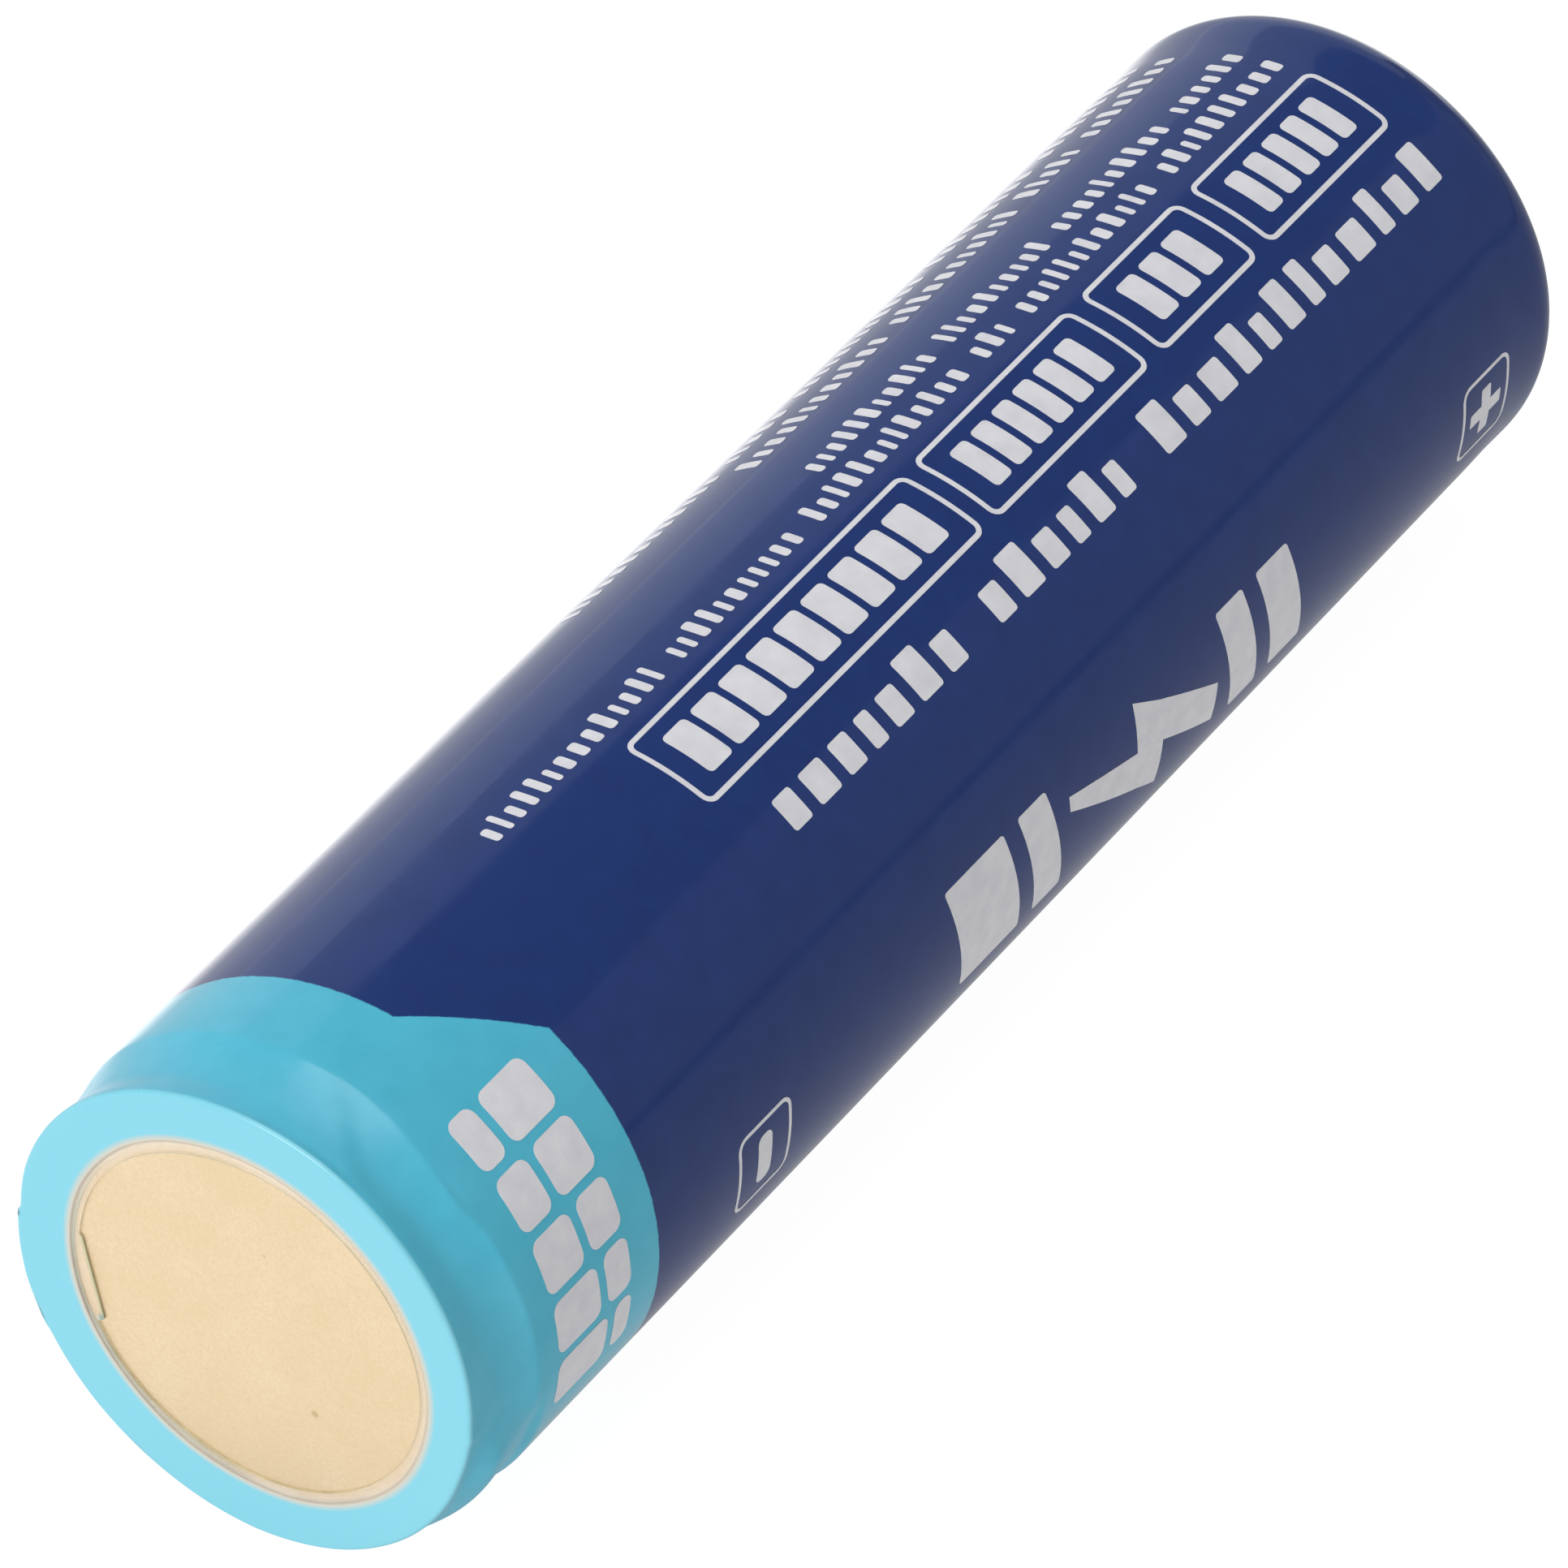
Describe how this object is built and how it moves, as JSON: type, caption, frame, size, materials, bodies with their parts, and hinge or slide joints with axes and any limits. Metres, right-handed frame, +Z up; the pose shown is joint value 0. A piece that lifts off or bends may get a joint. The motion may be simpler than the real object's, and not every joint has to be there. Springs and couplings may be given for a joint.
{
  "type": "cylindrical battery cell",
  "caption": "Protected cylindrical lithium-ion cell in a glossy printed film sleeve, with a flat gold negative contact, a raised positive button and a protection board at the negative end.",
  "frame": {"origin": "under the middle of the cell's length, on the surface that the cell lies on", "axes": "+X along the cell's axis, from the negative contact to the positive button; +Z up, with the cell on its side"},
  "size_m": [0.0688, 0.0184, 0.0184],
  "materials": {
    "printed_film": "glossy heat-shrink film, navy with a light blue negative end",
    "clear_film": "clear glossy heat-shrink film",
    "polyimide_tape": "amber polyimide tape",
    "nickel_strip": "bright rolled nickel",
    "gold_plate": "fine-grained matt gold plating",
    "glass_epoxy_board": "green glass epoxy board",
    "spacer_plastic": "white moulded plastic",
    "chip_epoxy": "black moulded epoxy",
    "resistor_ceramic": "dark chip resistor",
    "capacitor_ceramic": "tan chip capacitor",
    "solder": "bright tin solder",
    "fibre_paper": "plain insulating fibre paper",
    "can_steel": "nickel-plated drawn steel",
    "cathode_coating": "black cathode coating on foil",
    "anode_coating": "dark grey graphite coating on foil",
    "separator_film": "white microporous film",
    "closing_tape": "amber closing tape",
    "aluminium_foil": "plain rolled aluminium",
    "gasket_plastic": "translucent white gasket plastic",
    "cid_plastic": "white moulded plastic",
    "ptc_polymer": "dark conductive polymer",
    "cap_steel": "nickel-plated pressed steel",
    "white_ring_paper": "white fibre paper",
    "button_nickel": "bright nickel-plated pressed steel"
  },
  "bodies": {
    "root": {"outer_sleeve": "printed_film", "inner_sleeve": "clear_film", "strip_insulating_tape": "polyimide_tape", "positive_strip": "nickel_strip", "negative_contact_pad": "gold_plate", "protection_board": "glass_epoxy_board", "board_spacer_ring": "spacer_plastic", "protection_ic": "chip_epoxy", "mosfet_a": "chip_epoxy", "mosfet_b": "chip_epoxy", "sense_resistor": "resistor_ceramic", "supply_resistor": "resistor_ceramic", "filter_capacitor": "capacitor_ceramic", "solder_joint_positive": "solder", "solder_joint_negative": "solder", "negative_link_tab": "nickel_strip", "bottom_insulating_disc": "fibre_paper", "cell_can": "can_steel", "bottom_roll_insulator": "fibre_paper", "negative_tab": "nickel_strip", "cathode": "cathode_coating", "anode": "anode_coating", "separator_inner": "separator_film", "separator_outer": "separator_film", "roll_closing_tape": "closing_tape", "top_roll_insulator": "fibre_paper", "positive_tab": "aluminium_foil", "crimp_gasket": "gasket_plastic", "cid_plate": "aluminium_foil", "cid_insulator_ring": "cid_plastic", "safety_vent_disc": "aluminium_foil", "ptc_ring": "ptc_polymer", "top_cap": "cap_steel", "crimp_insulator_ring": "fibre_paper", "positive_cover_ring": "white_ring_paper", "button_top": "button_nickel"}
  },
  "joints": []
}
